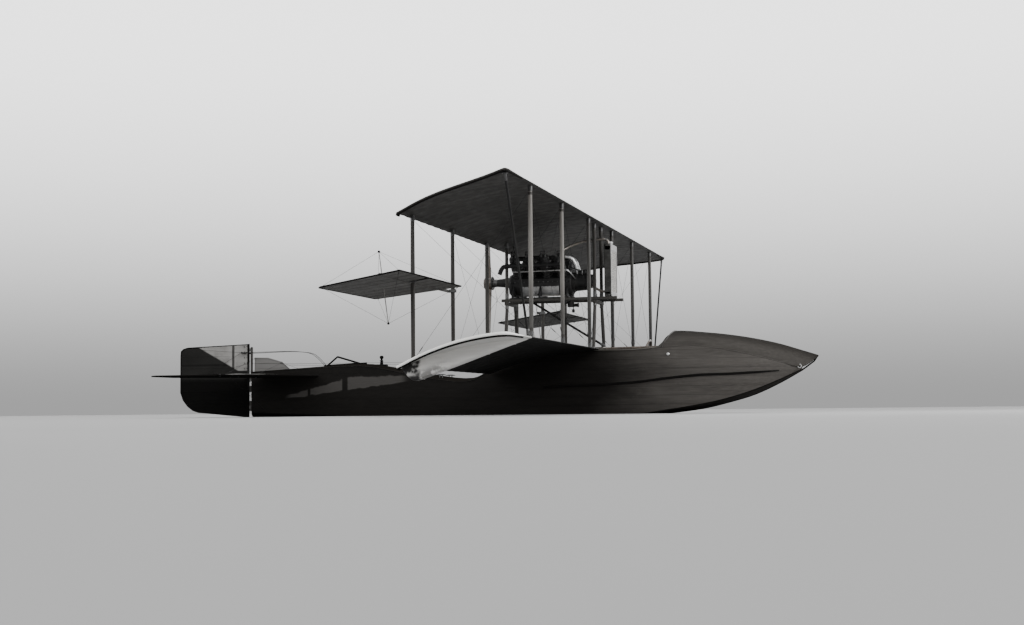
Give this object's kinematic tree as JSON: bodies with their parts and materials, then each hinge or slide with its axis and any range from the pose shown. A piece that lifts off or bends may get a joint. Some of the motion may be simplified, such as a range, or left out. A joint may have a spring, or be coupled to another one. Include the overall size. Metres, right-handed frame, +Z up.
{
  "type": "biplane flying boat",
  "caption": "Wooden hulled biplane flying boat with pusher propeller, open cockpit, mid-gap ailerons and tip floats, shown afloat.",
  "frame": {"origin": "on the centreline in the waterline plane, under the front row of wing struts", "axes": "+X to the bow, +Y to port, +Z up"},
  "size_m": [9.09, 9.81, 3.04],
  "materials": {
    "wing_fabric": "doped",
    "tail_fabric": "doped",
    "hull_wood": "varnished",
    "laminated_wood": "varnished",
    "strut_wood": "varnished",
    "sheet_metal": "satin",
    "float_paint": "painted",
    "engine_iron": "painted",
    "seat_leather": "worn"
  },
  "bodies": {
    "airframe": {"cabane_front_left": "strut_wood", "cabane_front_right": "strut_wood", "cabane_rear_left": "strut_wood", "cabane_rear_right": "strut_wood", "control_column": "engine_iron", "control_wheel": "laminated_wood", "deck_fairlead": "strut_wood", "engine": "engine_iron", "engine_bearer_left": "strut_wood", "engine_bearer_right": "strut_wood", "exhaust_left": "engine_iron", "exhaust_right": "engine_iron", "fin": "tail_fabric", "foredeck": "hull_wood", "front_strut_left_inner": "strut_wood", "front_strut_left_middle": "strut_wood", "front_strut_left_outer": "strut_wood", "front_strut_right_inner": "strut_wood", "front_strut_right_middle": "strut_wood", "front_strut_right_outer": "strut_wood", "hull": "hull_wood", "lower_wing_left": "wing_fabric", "lower_wing_right": "wing_fabric", "mooring_post": "strut_wood", "mount_legs_front": "strut_wood", "mount_legs_rear": "strut_wood", "radiator": "sheet_metal", "rear_strut_left_inner": "strut_wood", "rear_strut_left_middle": "strut_wood", "rear_strut_left_outer": "strut_wood", "rear_strut_right_inner": "strut_wood", "rear_strut_right_middle": "strut_wood", "rear_strut_right_outer": "strut_wood", "rub_strake_left": "hull_wood", "rub_strake_right": "hull_wood", "rudder_post": "strut_wood", "seat_bench": "seat_leather", "tailplane_left": "tail_fabric", "tailplane_right": "tail_fabric", "tip_float_left": "float_paint", "tip_float_right": "float_paint", "tip_strut_left": "engine_iron", "tip_strut_right": "engine_iron", "upper_wing": "wing_fabric", "water_pipe_lower": "sheet_metal", "water_pipe_upper": "sheet_metal"},
    "propeller": {"propeller": "laminated_wood"},
    "rudder": {"rudder": "tail_fabric"},
    "elevator_right": {"elevator_right": "tail_fabric"},
    "elevator_left": {"elevator_left": "tail_fabric"},
    "aileron_right": {"aileron_right": "tail_fabric"},
    "aileron_left": {"aileron_left": "tail_fabric"}
  },
  "joints": [
    {"name": "propeller_spin", "type": "hinge", "parent": "airframe", "child": "propeller", "pos_m": [-1.57, 0, 1.8], "axis": [1, 0, 0], "continuous": true},
    {"name": "rudder_turn", "type": "hinge", "parent": "airframe", "child": "rudder", "pos_m": [-5.165, 0, 0.5], "axis": [0, 0, 1], "range_deg": [-30, 30]},
    {"name": "elevator_right_tilt", "type": "hinge", "parent": "airframe", "child": "elevator_right", "pos_m": [-4.96, -0.8, 0.565], "axis": [0, 1, 0], "range_deg": [-25, 25]},
    {"name": "elevator_left_tilt", "type": "hinge", "parent": "airframe", "child": "elevator_left", "pos_m": [-4.96, 0.8, 0.565], "axis": [0, 1, 0], "range_deg": [-25, 25]},
    {"name": "aileron_right_tilt", "type": "hinge", "parent": "airframe", "child": "aileron_right", "pos_m": [-1.444, -3.5, 1.526], "axis": [0, 1, 0], "range_deg": [-20, 20]},
    {"name": "aileron_left_tilt", "type": "hinge", "parent": "airframe", "child": "aileron_left", "pos_m": [-1.444, 3.5, 1.526], "axis": [0, 1, 0], "range_deg": [-20, 20]}
  ],
  "couplings": [
    {"joint": "elevator_left_tilt", "follows": "elevator_right_tilt", "ratio": 1},
    {"joint": "aileron_left_tilt", "follows": "aileron_right_tilt", "ratio": -1}
  ]
}
